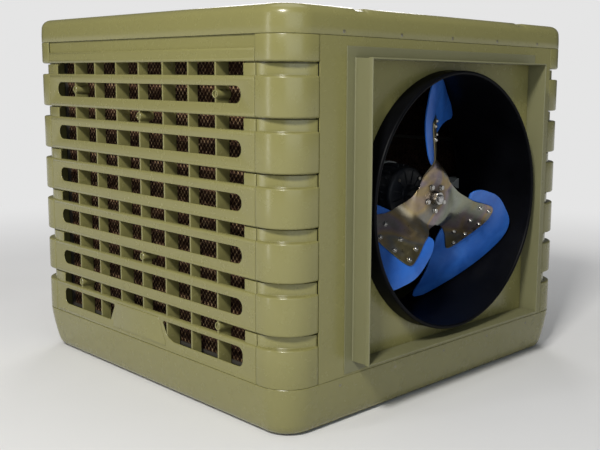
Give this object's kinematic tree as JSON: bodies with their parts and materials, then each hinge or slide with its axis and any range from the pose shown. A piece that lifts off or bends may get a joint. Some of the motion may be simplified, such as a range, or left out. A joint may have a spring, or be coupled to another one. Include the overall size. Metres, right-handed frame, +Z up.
{
  "type": "evaporative cooler",
  "caption": "Square plastic evaporative cooler with wet pads behind banded grilles on three sides, and an axial fan blowing through a square side collar.",
  "frame": {"origin": "centre of the casing's square footprint, on the plane it rests on", "axes": "+Z up; the air leaves towards -Y through the square collar; +X to the right when facing the object's rear side (the collar is on -Y, so +X is on the viewer's right when looking at the collar)"},
  "size_m": [1.104, 1.18, 0.95],
  "materials": {
    "casing_plastic": "satin",
    "frame_plastic": "matte",
    "inner_plastic": "matte",
    "collar_sheet": "satin",
    "shroud_plastic": "gloss",
    "blade_plastic": "satin",
    "passivated_steel": "gloss",
    "bright_bolts": "gloss",
    "zinc_screws": "satin",
    "machined_steel": "satin",
    "motor_paint": "satin",
    "cradle_paint": "satin",
    "pad_paper": "matte",
    "pump_plastic": "matte",
    "pipe_plastic": "satin",
    "valve_brass": "satin",
    "float_plastic": "satin",
    "gland_plastic": "matte"
  },
  "bodies": {
    "casing": {"bottom_tray": "casing_plastic", "top_cover": "casing_plastic", "column_front_left": "casing_plastic", "column_front_right": "casing_plastic", "column_rear_left": "casing_plastic", "column_rear_right": "casing_plastic", "discharge_panel": "casing_plastic", "drip_trough_left": "inner_plastic", "drip_trough_right": "inner_plastic", "drip_trough_rear": "inner_plastic", "outlet_collar": "collar_sheet", "cover_screws": "zinc_screws", "tray_screws": "zinc_screws", "fan_shroud": "shroud_plastic", "motor_housing": "motor_paint", "motor_end_shield": "motor_paint", "motor_cowl": "motor_paint", "terminal_box": "motor_paint", "motor_cradle": "cradle_paint", "pump_strainer": "pump_plastic", "pump_body": "pump_plastic", "riser_pipe": "pipe_plastic", "water_manifold": "pipe_plastic", "water_inlet": "valve_brass", "float_valve": "valve_brass", "drain_fitting": "pipe_plastic", "control_box": "inner_plastic", "cable_gland": "gland_plastic"},
    "fan_rotor": {"motor_shaft": "machined_steel", "shaft_key": "machined_steel", "hub_bushing": "machined_steel", "fan_spider": "passivated_steel", "fan_blade_1": "blade_plastic", "fan_blade_2": "blade_plastic", "fan_blade_3": "blade_plastic", "blade_bolts": "bright_bolts", "hub_bolts": "bright_bolts", "hub_washer": "passivated_steel", "hub_nut": "passivated_steel"},
    "pump_rotor": {"pump_impeller": "pump_plastic"},
    "float": {"float_arm": "valve_brass", "float_cup": "float_plastic"},
    "standpipe": {"overflow_pipe": "pipe_plastic"},
    "left_cassette": {"louver_left": "casing_plastic", "louver_screws_left": "zinc_screws", "cooling_pad_left": "pad_paper", "pad_frame_left": "frame_plastic"},
    "right_cassette": {"louver_right": "casing_plastic", "louver_screws_right": "zinc_screws", "cooling_pad_right": "pad_paper", "pad_frame_right": "frame_plastic"},
    "rear_cassette": {"louver_rear": "casing_plastic", "louver_screws_rear": "zinc_screws", "cooling_pad_rear": "pad_paper", "pad_frame_rear": "frame_plastic"}
  },
  "joints": [
    {"name": "fan_spin", "type": "hinge", "parent": "casing", "child": "fan_rotor", "pos_m": [0, -0.45, 0.495], "axis": [0, 1, 0], "continuous": true},
    {"name": "pump_spin", "type": "hinge", "parent": "casing", "child": "pump_rotor", "pos_m": [0.3, 0.25, 0.07], "axis": [0, 0, 1], "continuous": true},
    {"name": "float_swing", "type": "hinge", "parent": "casing", "child": "float", "pos_m": [-0.3, 0.5, 0.084], "axis": [-1, 0, 0], "range_deg": [0, 24]},
    {"name": "standpipe_pull", "type": "slide", "parent": "casing", "child": "standpipe", "axis": [0, 0, 1], "range_m": [0, 0.08]},
    {"name": "left_grille_pull", "type": "slide", "parent": "casing", "child": "left_cassette", "axis": [-1, 0, 0], "range_m": [0, 0.16]},
    {"name": "right_grille_pull", "type": "slide", "parent": "casing", "child": "right_cassette", "axis": [1, 0, 0], "range_m": [0, 0.16]},
    {"name": "rear_grille_pull", "type": "slide", "parent": "casing", "child": "rear_cassette", "axis": [0, 1, 0], "range_m": [0, 0.16]}
  ]
}
